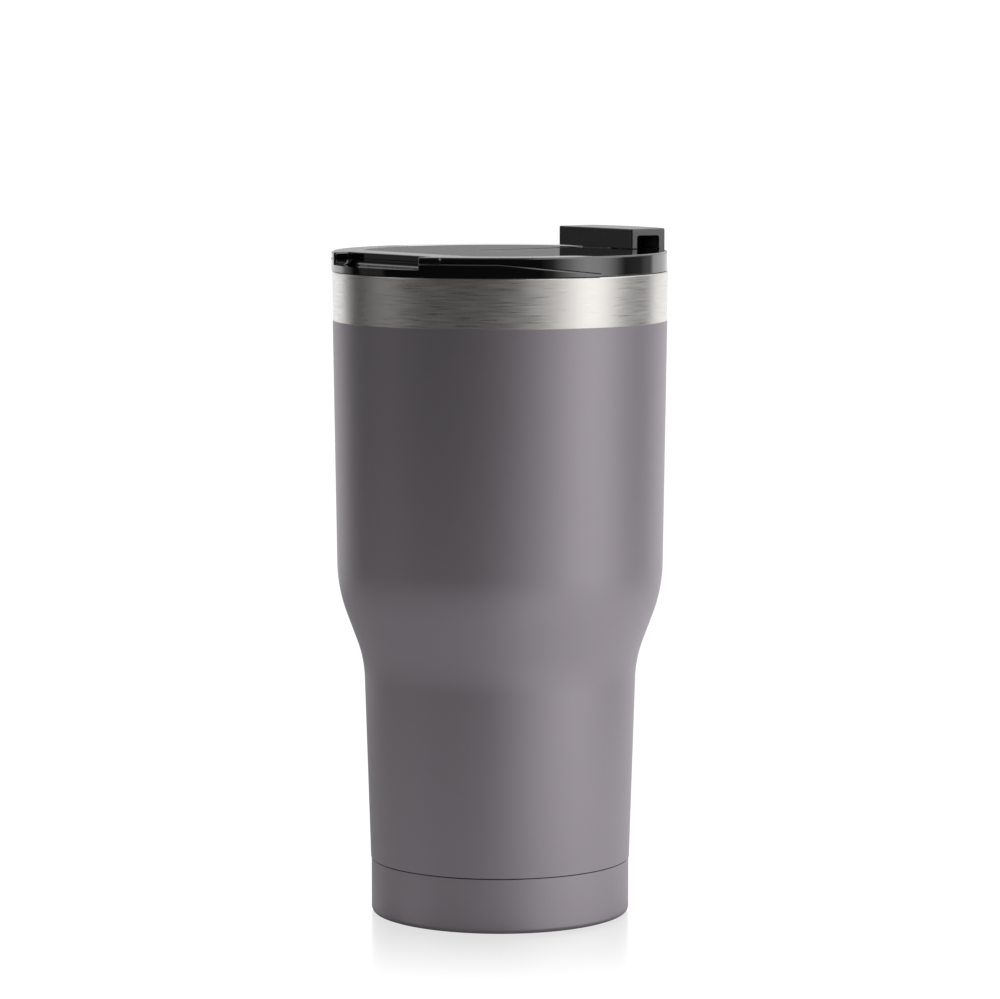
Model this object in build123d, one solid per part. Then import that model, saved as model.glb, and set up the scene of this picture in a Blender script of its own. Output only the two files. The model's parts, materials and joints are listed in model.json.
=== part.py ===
from build123d import *
from math import cos, hypot, radians, sqrt
import os

os.makedirs("parts", exist_ok=True)

# Insulated tumbler with a flip lid.  Millimetres, +Z up.  The origin is the centre of the base, on the
# surface that the tumbler stands on.  The sip port lies towards +X, the grip notch towards -X, and the
# lever's hinge pin along Y.

# ---- outer wall: three straight tapers, each as (radius at height 0, radius gained per millimetre) ----
UPPER_TAPER = (47.87, 0.0148)
SHOULDER_TAPER = (12.20, 0.373)
LOWER_TAPER = (38.90, 0.0317)
SHOULDER_ARC = 46.0          # convex bend between the upper wall and the shoulder
WAIST_ARC = 37.0             # concave bend between the shoulder and the lower wall
LIP_Z = 196.2                # top of the steel lip
PAINT_TOP_Z = 181.3          # powder coat ends here, bare steel above
SEAM_Z = 16.8                # weld between the outer shell and the base cup
SEAM_GAP = 0.3
COAT = 0.1                   # powder coat thickness
SHELL_SHEET = 0.5
LINER_SHEET = 0.45
LIP_EDGE_R = 0.45            # rounding of the lip's outer edge

# ---- base ----
BASE_R = 39.26               # bare steel; the powder coat adds its own thickness
BASE_EDGE_R = 1.6
BASE_RIM_INNER_R = 33.0      # inner edge of the ring that the tumbler stands on
BASE_DISH = 1.6              # height of the recessed middle of the base
COLLAR_TOP_Z = 20.6          # sleeve of the base cup that reaches up inside the outer shell
SEAL_DIMPLE_R = 3.2
VACUUM_HOLE_R = 0.6
PLATE_R = 27.0
PLATE_T = 0.5

# ---- inner vessel ----
WALL_DEPTH = 4.3             # outer face of the wall to the drink side
MOUTH_DEPTH = 3.6            # the mouth is widest down to here, then narrows to the gasket's seat
BORE_R = 47.6                # cylindrical seat for the lid's gasket
BORE_TOP_Z = 189.2
BORE_LOW_Z = 178.4
SEAT_LOW_Z = 175.4           # foot of the cone below the gasket seat
FLOOR_Z = 9.6
FLOOR_CORNER_R = 9.0
GETTER_X = 14.0
GETTER_R = 5.0
GETTER_T = 1.6

# ---- lid ----
LID_Z = LIP_Z + 0.15         # underside of the lid where it sits over the lip
RIM_Z = 202.2                # flat top of the lid
LID_R = 50.65
EDGE_R = 0.5
COVER_WALL = 1.8
COVER_PLATE = 1.65
TRAY_WALL = 1.3
PARTING = 0.08               # fine gap between the cover and the base moulding

FLANGE_R = 51.15             # grip band round the half of the lid away from the port
FLANGE_INNER_R = 47.0
FLANGE_TOP_Z = RIM_Z - 3.85  # floor of the grip notch
BAND_TOP_Z = RIM_Z - 1.95    # band beside the notch
BAND_FLAT_X = -31.3          # the band's top falls away from here towards the port
BAND_TIP_X = -1.5
BAND_SLOPE = 0.108
NOTCH_X = -40.8              # straight inner wall of the notch
NOTCH_HALF_W = 20.8
NOTCH_BACKING = 1.5          # wall behind the notch
NOTCH_COVE_R = 1.5
POST_HALF_W = 27.1           # outer ends of the two posts that frame the notch

SKIRT_R = 45.6
SKIRT_WALL = 1.8
SKIRT_LOW_Z = 178.9
SKIRT_BEAD_R = 46.7
SKIRT_BEAD_H = 1.7
LID_FLOOR_R = 48.9
LID_FLOOR_T = 1.8
GASKET_TOP_Z = 188.6
GASKET_CORE_R = 46.5
GASKET_FIN_R = 47.42
GASKET_FIN_T = 0.9
GASKET_FIN_PITCH = 2.5
GASKET_FINS = 3

PORT_X = 44.2
PORT_W = 14.0                # along Y
PORT_L = 6.0                 # along X
PORT_SEAT_W = 1.2            # step round the port that the stopper's flange sits in
PORT_SEAT_H = 0.35
VENT_X = 14.0
VENT_HOLE_R = 1.7

# ---- flip lever ----
PIN_X = -2.0
PIN_Z = 200.9
PIN_R = 0.75
PIN_HALF_L = 9.0
PIN_FIT = 0.04               # running clearance in the lever
PIN_BOSS = 2.4               # half the width of the bosses that hold the pin
CHANNEL_BACK_X = PIN_X - 1.85   # wall behind the hinge barrel, which stops the lever just past upright
CHANNEL_HALF_W = 6.5
CHANNEL_FLOOR_Z = 199.2
CHANNEL_END_X = 39.5
ARM_HALF_W = 6.1
ARM_LOW_Z = 199.7
ARM_TOP_Z = 202.1
BARREL_R = 1.2
BAR_X = 36.8                 # flat inner face of the raised bar
BAR_R = 53.0                 # curved outer face, which overhangs the lid's edge
BAR_HALF_W = 17.95
BAR_LOW_Z = RIM_Z + 0.2
BAR_TOP_Z = 208.35
BAR_CORNER_R = 0.6           # upright edges of the bar
BAR_EDGE_R = 0.4             # edges of its top
BAR_WALL = 2.3
BAR_ROOF = 2.2
BAR_WEB_HALF_W = 8.0         # solid middle of the bar, between its two hollow ends
BAR_LIP_R = 51.0
BAR_LIP_Z = 201.5
JOIN = 0.5                   # how far the arm, riser and boss run into the bar
BOSS_R = 1.5
BOSS_LOW_Z = 198.6
VENT_STEM_R = 1.2
VENT_STEM_DEPTH = 1.6        # how far the vent plug reaches up into the arm

BIG = 130.0


def export(node, shape):
    """Write one node."""
    shape.label = node
    export_step(shape, f"parts/{node}.step")


def revolved(*lines):
    """Solid of revolution about Z from a closed outline drawn as (radius, height)."""
    return revolve(Plane.XZ * make_face(Curve() + list(lines)), Axis.Z, 360)


def turned(*points):
    """Solid of revolution about Z from the corners of its section, as (radius, height)."""
    return revolved(Polyline(*points, close=True))


def cylinder(radius, low, high, x=0.0, y=0.0):
    """Upright cylinder between two heights."""
    return Pos(x, y, low) * extrude(Circle(radius), high - low)


def block(x_range, y_range, z_range):
    """Box between the given limits."""
    size = [high - low for low, high in (x_range, y_range, z_range)]
    return Pos(x_range[0], y_range[0], z_range[0]) * Box(*size, align=(Align.MIN,) * 3)


def slot_prism(long_y, wide_x, low, high, x, taper=0.0):
    """Upright prism with a round-ended section, long along Y."""
    section = Pos(x, 0, low) * (Rot(0, 0, 90) * SlotOverall(long_y, wide_x))
    return extrude(section, high - low, taper=taper)


def taper_radius(taper, height, depth=0.0):
    """Radius of a straight taper at a height, at a depth below the steel's outer face."""
    return taper[0] + taper[1] * height - depth * hypot(1, taper[1])


def taper_corner(first, second, depth):
    """Where two tapers meet, at a depth below the steel's outer face."""
    gap = taper_radius(second, 0, depth) - taper_radius(first, 0, depth)
    height = gap / (first[1] - second[1])
    return (taper_radius(first, height, depth), height)


def wall_corners(depth):
    """Waist and shoulder corners of the wall at a depth, with the radii that round them."""
    waist = taper_corner(LOWER_TAPER, SHOULDER_TAPER, depth)
    shoulder = taper_corner(SHOULDER_TAPER, UPPER_TAPER, depth)
    return [waist, shoulder], [WAIST_ARC + depth, SHOULDER_ARC - depth]


def wall_line(depth, low, high):
    """The wall's line at a depth, from a low height up to a high one."""
    corners, radii = wall_corners(depth)
    start = (taper_radius(LOWER_TAPER, low, depth), low)
    end = (taper_radius(UPPER_TAPER, high, depth), high)
    return FilletPolyline(start, *corners, end, radius=radii)


# ---------------------------------------------------------------- tumbler

def outer_shell():
    """Outer steel wall, from the seam up to the lip, with the lip's outer edge rounded."""
    low = SEAM_Z + SEAM_GAP / 2
    outside = wall_line(0, low, LIP_Z - LIP_EDGE_R)
    inside = wall_line(SHELL_SHEET, low, LIP_Z)
    crest = outside @ 1 + Vector(-LIP_EDGE_R, LIP_EDGE_R)
    rounding = RadiusArc(outside @ 1, crest, -LIP_EDGE_R)
    return revolved(outside, rounding, Line(crest, inside @ 1), inside, Line(inside @ 0, outside @ 0))


def liner_line(depth, mouth_r, floor_z):
    """Line of the inner vessel from the mouth down the wall and in to the axis, at a wall depth.

    A depth less than WALL_DEPTH gives the vacuum side of the sheet."""
    thick = WALL_DEPTH - depth
    (waist, shoulder), (waist_r, shoulder_r) = wall_corners(depth)
    seat_foot = (taper_radius(UPPER_TAPER, SEAT_LOW_Z, depth), SEAT_LOW_Z)
    points = [
        (mouth_r, LIP_Z),
        (mouth_r, LIP_Z - MOUTH_DEPTH - thick / 3),
        (BORE_R + thick, BORE_TOP_Z - thick / 3),
        (BORE_R + thick, BORE_LOW_Z - thick / 3),
        seat_foot,
        shoulder,
        waist,
        (taper_radius(LOWER_TAPER, floor_z, depth), floor_z),
        (0, floor_z),
    ]
    radii = [1.5, 1.5, 1.5, 1.5, shoulder_r, waist_r, FLOOR_CORNER_R + thick]
    return FilletPolyline(*points, radius=radii)


def inner_liner():
    """Inner steel vessel, welded to the shell round the lip."""
    lip_outer_r = taper_radius(UPPER_TAPER, LIP_Z - MOUTH_DEPTH, SHELL_SHEET) - 0.02
    drink_side = liner_line(WALL_DEPTH, lip_outer_r - LINER_SHEET, FLOOR_Z)
    vacuum_side = liner_line(WALL_DEPTH - LINER_SHEET, lip_outer_r, FLOOR_Z - LINER_SHEET)
    across_lip = Line(drink_side @ 0, vacuum_side @ 0)
    on_axis = Line(drink_side @ 1, vacuum_side @ 1)
    body = revolved(drink_side, vacuum_side, across_lip, on_axis)
    mouth_edge = body.edges().filter_by(GeomType.CIRCLE).group_by(Axis.Z)[-1].sort_by(SortBy.RADIUS)[0]
    return fillet(mouth_edge, LINER_SHEET * 0.7)


def base_cup():
    """Pressed cup that closes the outer wall: ring, standing rim, dished middle and inner sleeve."""
    top = SEAM_Z - SEAM_GAP / 2
    dish_z = BASE_DISH
    sheet = SHELL_SHEET
    collar_r = taper_radius(LOWER_TAPER, SEAM_Z, SHELL_SHEET) - 0.05
    outside = FilletPolyline(
        (BASE_R, top),
        (BASE_R, 0),
        (BASE_RIM_INNER_R, 0),
        (BASE_RIM_INNER_R - 1.2, dish_z),
        (0, dish_z),
        radius=[BASE_EDGE_R, 0.5, 0.5],
    )
    inside = FilletPolyline(
        (collar_r - sheet, COLLAR_TOP_Z),
        (collar_r - sheet, sheet),
        (BASE_RIM_INNER_R + 0.3, sheet),
        (BASE_RIM_INNER_R - 0.9, dish_z + sheet),
        (0, dish_z + sheet),
        radius=[0.9, 0.4, 0.4],
    )
    sleeve = Polyline(outside @ 0, (collar_r, top), (collar_r, COLLAR_TOP_Z), inside @ 0)
    body = revolved(outside, sleeve, inside, Line(outside @ 1, inside @ 1))
    dimple = cylinder(SEAL_DIMPLE_R, dish_z - 0.1, dish_z + sheet / 2)
    hole = cylinder(VACUUM_HOLE_R, 0, BASE_DISH + 2 * sheet)
    return body - dimple - hole


def vacuum_seal():
    """Solder bead that closes the evacuation hole, set in its dimple."""
    low = BASE_DISH + 0.05
    seat = BASE_DISH + SHELL_SHEET / 2
    head = cylinder(SEAL_DIMPLE_R - 0.2, low, seat)
    head = fillet(head.edges().group_by(Axis.Z)[0], (seat - low) * 0.6)
    return head + cylinder(VACUUM_HOLE_R, seat, BASE_DISH + SHELL_SHEET)


def bottom_plate():
    """Plain steel disc spot-welded over the vacuum seal."""
    high = BASE_DISH
    plate = cylinder(PLATE_R, high - PLATE_T, high)
    return chamfer(plate.edges().group_by(Axis.Z)[0], PLATE_T * 0.5)


def getter():
    """Getter pellet in the vacuum space, under the vessel's floor."""
    top = FLOOR_Z - LINER_SHEET - 0.3
    return cylinder(GETTER_R, top - GETTER_T, top, x=GETTER_X)


def getter_clip():
    """Strap spot-welded to the vessel's floor that holds the getter pellet."""
    top = FLOOR_Z - LINER_SHEET
    strap = 0.3
    half_w = 2.0
    foot = 3.0
    reach = GETTER_R + strap
    low = top - 0.3 - GETTER_T - strap
    y_range = (-half_w, half_w)
    bridge = block((GETTER_X - reach, GETTER_X + reach), y_range, (low, low + strap))
    for side in (-1, 1):
        wall_x = GETTER_X + side * (reach - strap / 2)
        foot_x = GETTER_X + side * (reach - strap / 2 + foot / 2)
        bridge += block((wall_x - strap / 2, wall_x + strap / 2), y_range, (low, top))
        bridge += block((foot_x - foot / 2, foot_x + foot / 2), y_range, (top - strap, top))
    return bridge


def body_coat():
    """Powder coat on the outer shell, from the seam to the edge of the bare steel band."""
    low = SEAM_Z + SEAM_GAP / 2
    outside = wall_line(-COAT, low, PAINT_TOP_Z)
    inside = wall_line(0, low, PAINT_TOP_Z)
    return revolved(outside, Line(outside @ 1, inside @ 1), inside, Line(inside @ 0, outside @ 0))


def base_coat():
    """Powder coat on the base cup, from the seam down to the rounded foot."""
    top = SEAM_Z - SEAM_GAP / 2
    foot_x = BASE_R - BASE_EDGE_R
    low = BASE_EDGE_R - BASE_EDGE_R * cos(radians(35))
    outer_arc_r = BASE_EDGE_R + COAT
    outer_foot = (foot_x + sqrt(outer_arc_r**2 - (BASE_EDGE_R - low) ** 2), low)
    inner_foot = (foot_x + sqrt(BASE_EDGE_R**2 - (BASE_EDGE_R - low) ** 2), low)
    outside = Line((BASE_R + COAT, top), (BASE_R + COAT, BASE_EDGE_R))
    outside_arc = RadiusArc(outside @ 1, outer_foot, outer_arc_r)
    inside = Line((BASE_R, top), (BASE_R, BASE_EDGE_R))
    inside_arc = RadiusArc(inside @ 1, inner_foot, BASE_EDGE_R)
    across_top = Line(outside @ 0, inside @ 0)
    return revolved(outside, outside_arc, Line(outer_foot, inner_foot), inside_arc, inside, across_top)


# ---------------------------------------------------------------- lid

def band_prism(lift=0.0):
    """Everything below the grip band's top, which is level beside the notch and then slopes away."""
    tip_z = BAND_TOP_Z - BAND_SLOPE * (BAND_TIP_X - BAND_FLAT_X)
    section = Polyline(
        (-BIG, LID_Z),
        (BAND_TIP_X + lift, LID_Z),
        (BAND_TIP_X + lift, tip_z + lift),
        (BAND_FLAT_X, BAND_TOP_Z + lift),
        (-BIG, BAND_TOP_Z + lift),
        close=True,
    )
    return extrude(Plane.XZ * make_face(section), BIG / 2, both=True)


def band_plan(grow=0.0):
    """Upright prism over the band: outside the band's inner radius, or behind the notch's inner wall."""
    outside = Circle(BIG) - Circle(FLANGE_INNER_R - grow)
    backing = Pos(NOTCH_X + NOTCH_BACKING + grow, 0) * Rectangle(BIG, BIG, align=(Align.MAX, Align.CENTER))
    return Pos(0, 0, LID_Z - 2) * extrude(outside + backing, RIM_Z - LID_Z + 4)


def notch_space():
    """Space of the grip notch."""
    return block((-BIG, NOTCH_X), (-NOTCH_HALF_W, NOTCH_HALF_W), (FLANGE_TOP_Z, RIM_Z + 5))


def grip_band():
    """Half-round band that stands proud of the lid, with the floor of the notch."""
    band = cylinder(FLANGE_R, LID_Z, RIM_Z) & band_prism() & band_plan()
    band -= notch_space()
    cove_top = FLANGE_TOP_Z + NOTCH_COVE_R
    cove = block((NOTCH_X - NOTCH_COVE_R, NOTCH_X), (-NOTCH_HALF_W, NOTCH_HALF_W), (FLANGE_TOP_Z, cove_top))
    cove -= Pos(NOTCH_X - NOTCH_COVE_R, 0, cove_top) * Rot(90, 0, 0) * Cylinder(NOTCH_COVE_R, BIG)
    return band + cove


def lid_base():
    """Lower moulding: floor, skirt that plugs the mouth, gasket groove and grip band."""
    floor_low = LID_Z - LID_FLOOR_T
    bead_top = SKIRT_LOW_Z + SKIRT_BEAD_H
    body = turned(
        (0, floor_low),
        (SKIRT_R - SKIRT_WALL, floor_low),
        (SKIRT_R - SKIRT_WALL, SKIRT_LOW_Z),
        (SKIRT_BEAD_R - 0.6, SKIRT_LOW_Z),
        (SKIRT_BEAD_R, SKIRT_LOW_Z + 0.6),
        (SKIRT_BEAD_R, bead_top),
        (SKIRT_R, bead_top),
        (SKIRT_R, GASKET_TOP_Z),
        (SKIRT_BEAD_R, GASKET_TOP_Z),
        (SKIRT_BEAD_R, floor_low - 1.6),
        (LID_FLOOR_R, floor_low + 0.6),
        (LID_FLOOR_R, LID_Z),
        (0, LID_Z),
    )
    body += grip_band()
    body -= slot_prism(PORT_W, PORT_L, floor_low - 1, LID_Z + 1, PORT_X)
    body -= cylinder(VENT_HOLE_R, floor_low - 1, LID_Z + 1, x=VENT_X)
    return body


def channel_space(grow=0.0, low=CHANNEL_FLOOR_Z):
    """Channel that the lever's arm lies in."""
    half_w = CHANNEL_HALF_W + grow
    return block((CHANNEL_BACK_X - grow, CHANNEL_END_X + grow), (-half_w, half_w), (low, RIM_Z + 1))


def cover_blank():
    """Cover before its openings: plate, outer wall and the posts beside the notch."""
    outline = FilletPolyline((LID_R, LID_Z), (LID_R, RIM_Z), (0, RIM_Z), radius=EDGE_R)
    body = revolved(outline, Polyline(outline @ 1, (0, LID_Z), outline @ 0))
    post_line = FilletPolyline(
        (FLANGE_R, BAND_TOP_Z),
        (FLANGE_R, RIM_Z),
        (LID_R - 0.8, RIM_Z),
        radius=EDGE_R,
    )
    posts = revolved(post_line, Polyline(post_line @ 1, (LID_R - 0.8, BAND_TOP_Z), post_line @ 0))
    z_range = (BAND_TOP_Z + PARTING, RIM_Z + 1)
    for side in (-1, 1):
        y_range = sorted((side * NOTCH_HALF_W, side * POST_HALF_W))
        body += posts & block((-BIG, 0), y_range, z_range)
    return body


def cover_cavity():
    """Air space under the cover's plate, left solid round the channel, notch, port, vent and pin."""
    cavity = cylinder(LID_R - COVER_WALL, LID_Z - 1, RIM_Z - COVER_PLATE)
    cavity -= channel_space(TRAY_WALL, CHANNEL_FLOOR_Z - TRAY_WALL)
    cavity -= block((-BIG, NOTCH_X + TRAY_WALL), (-BIG, BIG), (LID_Z - 2, RIM_Z))
    cavity -= slot_prism(PORT_W + 2 * TRAY_WALL, PORT_L + 2 * TRAY_WALL, LID_Z - 2, RIM_Z, PORT_X)
    cavity -= cylinder(VENT_HOLE_R + TRAY_WALL, LID_Z - 2, RIM_Z, x=VENT_X)
    boss_end = PIN_HALF_L + 1.6
    cavity -= block((PIN_X - PIN_BOSS, PIN_X + PIN_BOSS), (-boss_end, boss_end), (PIN_Z - PIN_BOSS, RIM_Z))
    return cavity


def lid_cover():
    """Glossy upper moulding."""
    body = cover_blank() - cover_cavity() - channel_space() - notch_space()
    body -= band_plan(PARTING) & band_prism(PARTING)
    body -= slot_prism(PORT_W, PORT_L, LID_Z - 1, RIM_Z, PORT_X)
    seat_grow = 2 * PORT_SEAT_W
    body -= slot_prism(PORT_W + seat_grow, PORT_L + seat_grow, RIM_Z - PORT_SEAT_H, RIM_Z + 1, PORT_X)
    body -= cylinder(VENT_HOLE_R, LID_Z - 1, RIM_Z, x=VENT_X)
    body -= Pos(PIN_X, 0, PIN_Z) * Rot(90, 0, 0) * Cylinder(PIN_R, 2 * PIN_HALF_L)
    return body


def lid_gasket():
    """Silicone ring with sealing fins, held in the groove of the skirt."""
    low = SKIRT_LOW_Z + SKIRT_BEAD_H
    ring = turned(
        (SKIRT_R, low),
        (GASKET_CORE_R, low),
        (GASKET_CORE_R, GASKET_TOP_Z),
        (SKIRT_R, GASKET_TOP_Z),
    )
    for index in range(GASKET_FINS):
        fin_z = low + 1.3 + index * GASKET_FIN_PITCH
        ring += turned(
            (GASKET_CORE_R - 0.3, fin_z - GASKET_FIN_T / 2),
            (GASKET_FIN_R, fin_z + 0.1),
            (GASKET_FIN_R, fin_z + 0.4),
            (GASKET_CORE_R - 0.3, fin_z + GASKET_FIN_T / 2 + 0.3),
        )
    return ring


def hinge_pin():
    """Steel pin that the lever turns on, pressed into blind bosses of the cover."""
    pin = Cylinder(PIN_R, 2 * PIN_HALF_L)
    pin = chamfer(pin.edges().filter_by(GeomType.CIRCLE), PIN_R * 0.2)
    return Pos(PIN_X, 0, PIN_Z) * Rot(90, 0, 0) * pin


# ---------------------------------------------------------------- flip lever

def bar_plan(outer_r, inner_x, half_w):
    """Plan of the raised bar: flat inner face, ends square to the hinge, outer face curved with the lid."""
    band = Pos(inner_x, 0) * Rectangle(BIG, 2 * half_w, align=(Align.MIN, Align.CENTER))
    return band & Circle(outer_r)


def lever_bar():
    """Raised bar with hollow ends and a lip that overhangs the lid's edge."""
    bar = Pos(0, 0, BAR_LOW_Z) * extrude(bar_plan(BAR_R, BAR_X, BAR_HALF_W), BAR_TOP_Z - BAR_LOW_Z)
    bar = fillet(bar.edges().filter_by(Axis.Z), BAR_CORNER_R)
    bar = fillet(bar.edges().group_by(Axis.Z)[-1], BAR_EDGE_R)
    lip_plan = bar_plan(BAR_R, BAR_X, BAR_HALF_W - BAR_CORNER_R)
    lip = Pos(0, 0, BAR_LIP_Z) * extrude(lip_plan, BAR_LOW_Z + JOIN - BAR_LIP_Z)
    bar += lip - cylinder(BAR_LIP_R, BAR_LIP_Z - 1, BAR_LOW_Z + 1)
    hollow = bar_plan(BAR_R - BAR_WALL, BAR_X + BAR_WALL, BAR_HALF_W + 1)
    hollow -= Rectangle(BIG, 2 * BAR_WEB_HALF_W)
    bar -= Pos(0, 0, BAR_LOW_Z - 2) * extrude(hollow, BAR_TOP_Z - BAR_ROOF - BAR_LOW_Z + 2)
    return bar


def flip_lever():
    """Lever moulding: arm, hinge barrel, raised bar and the boss that carries the stopper."""
    arm = block((PIN_X, BAR_X + BAR_WALL), (-ARM_HALF_W, ARM_HALF_W), (ARM_LOW_Z, ARM_TOP_Z))
    arm = fillet(arm.edges().filter_by(Axis.X).group_by(Axis.Z)[-1], 0.4)
    barrel = Pos(PIN_X, 0, PIN_Z) * Rot(90, 0, 0) * Cylinder(BARREL_R, 2 * ARM_HALF_W)
    riser = block((BAR_X, BAR_X + BAR_WALL), (-ARM_HALF_W, ARM_HALF_W), (ARM_LOW_Z, BAR_LOW_Z + JOIN))
    boss = cylinder(BOSS_R, BOSS_LOW_Z, BAR_LOW_Z + JOIN, x=PORT_X)
    lever = arm + barrel + riser + lever_bar() + boss
    lever -= Pos(PIN_X, 0, PIN_Z) * Rot(90, 0, 0) * Cylinder(PIN_R + PIN_FIT, BIG)
    lever -= cylinder(VENT_STEM_R, ARM_LOW_Z - 1, ARM_LOW_Z + VENT_STEM_DEPTH, x=VENT_X)
    return lever


def spout_stopper():
    """Silicone stopper pressed onto the lever's boss, which closes the sip port."""
    flange_low = RIM_Z - PORT_SEAT_H + 0.1
    plug = slot_prism(PORT_W - 0.6, PORT_L - 0.6, LID_Z - 0.2, flange_low, PORT_X)
    plug = chamfer(plug.edges().group_by(Axis.Z)[0], 0.4)
    plug += slot_prism(PORT_W + 1.8, PORT_L + 1.8, flange_low, BAR_LOW_Z, PORT_X)
    return plug - cylinder(BOSS_R, BOSS_LOW_Z, RIM_Z + 1, x=PORT_X)


def vent_plug():
    """Silicone button in the underside of the arm, which closes the vent hole."""
    seat = CHANNEL_FLOOR_Z + 0.1
    stem = cylinder(VENT_STEM_R, seat, ARM_LOW_Z + VENT_STEM_DEPTH, x=VENT_X)
    head = cylinder(2.6, seat, ARM_LOW_Z, x=VENT_X)
    tip = Cone(VENT_STEM_R, 0.8, VENT_STEM_R, align=(Align.CENTER, Align.CENTER, Align.MIN))
    return stem + head + Pos(VENT_X, 0, seat) * Rot(180, 0, 0) * tip


NODES = {
    "outer_shell": outer_shell,
    "inner_liner": inner_liner,
    "base_cup": base_cup,
    "vacuum_seal": vacuum_seal,
    "bottom_plate": bottom_plate,
    "getter": getter,
    "getter_clip": getter_clip,
    "body_coat": body_coat,
    "base_coat": base_coat,
    "lid_base": lid_base,
    "lid_cover": lid_cover,
    "lid_gasket": lid_gasket,
    "hinge_pin": hinge_pin,
    "flip_lever": flip_lever,
    "spout_stopper": spout_stopper,
    "vent_plug": vent_plug,
}

for name, make in NODES.items():
    export(name, make())
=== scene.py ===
"""Insulated tumbler with a flip lid: its looks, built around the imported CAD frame.  Metres, +Z up."""
import json
from math import acos, asin, atan2, cos, hypot, pi, radians, sin, sqrt, tan

import bmesh
import bpy
from mathutils import Matrix, Vector


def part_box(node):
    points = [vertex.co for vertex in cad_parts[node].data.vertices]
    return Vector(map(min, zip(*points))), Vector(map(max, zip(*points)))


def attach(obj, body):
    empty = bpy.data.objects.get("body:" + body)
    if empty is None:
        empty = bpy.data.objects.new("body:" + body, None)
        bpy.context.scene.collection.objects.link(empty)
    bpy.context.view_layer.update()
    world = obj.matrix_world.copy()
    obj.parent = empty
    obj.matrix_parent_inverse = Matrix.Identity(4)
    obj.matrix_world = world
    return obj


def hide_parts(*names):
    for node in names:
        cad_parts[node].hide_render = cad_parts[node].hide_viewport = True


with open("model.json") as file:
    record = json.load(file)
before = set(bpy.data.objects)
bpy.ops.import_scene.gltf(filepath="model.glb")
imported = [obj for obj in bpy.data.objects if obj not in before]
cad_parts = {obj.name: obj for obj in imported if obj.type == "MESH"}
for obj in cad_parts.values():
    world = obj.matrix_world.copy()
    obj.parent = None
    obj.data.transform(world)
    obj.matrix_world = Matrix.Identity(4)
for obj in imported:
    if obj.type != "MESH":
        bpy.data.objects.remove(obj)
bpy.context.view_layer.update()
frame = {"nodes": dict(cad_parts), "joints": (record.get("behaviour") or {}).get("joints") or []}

MM = 0.001
FINE = 256                   # segments round the body
SAG = 0.006                  # how far a rounded corner's chords may lie inside its arc, in millimetres
CREASE = 30                  # degrees above which an edge stays crisp


def top_of(node):
    """Height of a node's top, in millimetres."""
    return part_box(node)[1][2] / MM


def foot_of(node):
    """Height of a node's underside, in millimetres."""
    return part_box(node)[0][2] / MM


def radius_of(node):
    """Largest radius of a round node, in millimetres."""
    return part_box(node)[1][1] / MM


# ---------------------------------------------------------------- sizes, in millimetres
# Places come from the frame; the rest are the object's own details.

LIP_Z = top_of("outer_shell")
PAINT_TOP_Z = top_of("body_coat")
SHELL_LOW_Z = foot_of("outer_shell")
CUP_TOP_Z = top_of("base_coat")
RIM_Z = top_of("lid_cover")
BASE_R = radius_of("base_cup")
COAT = radius_of("base_coat") - BASE_R
FLANGE_R = radius_of("lid_base")

UPPER_TAPER = (47.87, 0.0148)
SHOULDER_TAPER = (12.20, 0.373)
LOWER_TAPER = (38.90, 0.0317)
SHOULDER_ARC = 46.0
WAIST_ARC = 37.0
SHELL_SHEET = 0.5
LIP_EDGE_R = 0.45
LINER_SHEET = 0.45
WALL_DEPTH = 4.3
BASE_EDGE_R = 1.6
BASE_RIM_INNER_R = 33.0
BASE_DISH = 1.6
SEAL_DIMPLE_R = 3.2
VACUUM_HOLE_R = 0.6
PLATE_R = radius_of("bottom_plate")
PLATE_LOW_Z = foot_of("bottom_plate")
COLLAR_TOP_Z = top_of("base_cup")

MOUTH_DEPTH = 3.6
BORE_R = 47.6
BORE_TOP_Z = 189.2
BORE_LOW_Z = 178.4
SEAT_LOW_Z = 175.4
FLOOR_Z = 9.6
FLOOR_CORNER_R = 9.0

LID_Z = LIP_Z + 0.15
LID_R = 50.65
EDGE_R = 0.5
SHEEN_RING_FALL = 0.22       # how far the ring dips towards the edge, in its shading only
SHEEN_FADES = (0.0, -20.0)   # the ring's softer finish starts and is full at these places along X
SHEEN_RING_W = 9.15          # softer finish round the lid's flat top, and beside the notch
PARTING = 0.08
FLANGE_INNER_R = 47.0
FLANGE_TOP_Z = RIM_Z - 3.85
BAND_TOP_Z = RIM_Z - 1.95
BAND_FLAT_X = -31.3
BAND_TIP_X = -1.5
BAND_SLOPE = 0.108
NOTCH_X = -40.8
NOTCH_HALF_W = 20.8
NOTCH_BACKING = 1.5
NOTCH_COVE_R = 1.5
NOTCH_CORNER_R = 1.5
POST_EDGE_R = 0.6
POST_HALF_W = 27.1

SKIRT_R = 45.6
SKIRT_WALL = 1.8
SKIRT_LOW_Z = foot_of("lid_base")
SKIRT_BEAD_R = 46.7
SKIRT_BEAD_H = 1.7
LID_FLOOR_R = 48.9
LID_FLOOR_T = 1.8
GASKET_LOW_Z = foot_of("lid_gasket")
GASKET_TOP_Z = top_of("lid_gasket")
GASKET_CORE_R = 46.5
GASKET_FIN_R = radius_of("lid_gasket")
GASKET_FIN_PITCH = 2.5
GASKET_FINS = 3

PORT_X = 44.2
PORT_W = 14.0
PORT_L = 6.0
PORT_SEAT_W = 1.2
PORT_SEAT_Z = RIM_Z - 0.35
VENT_X = 14.0
VENT_HOLE_R = 1.7

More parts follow.
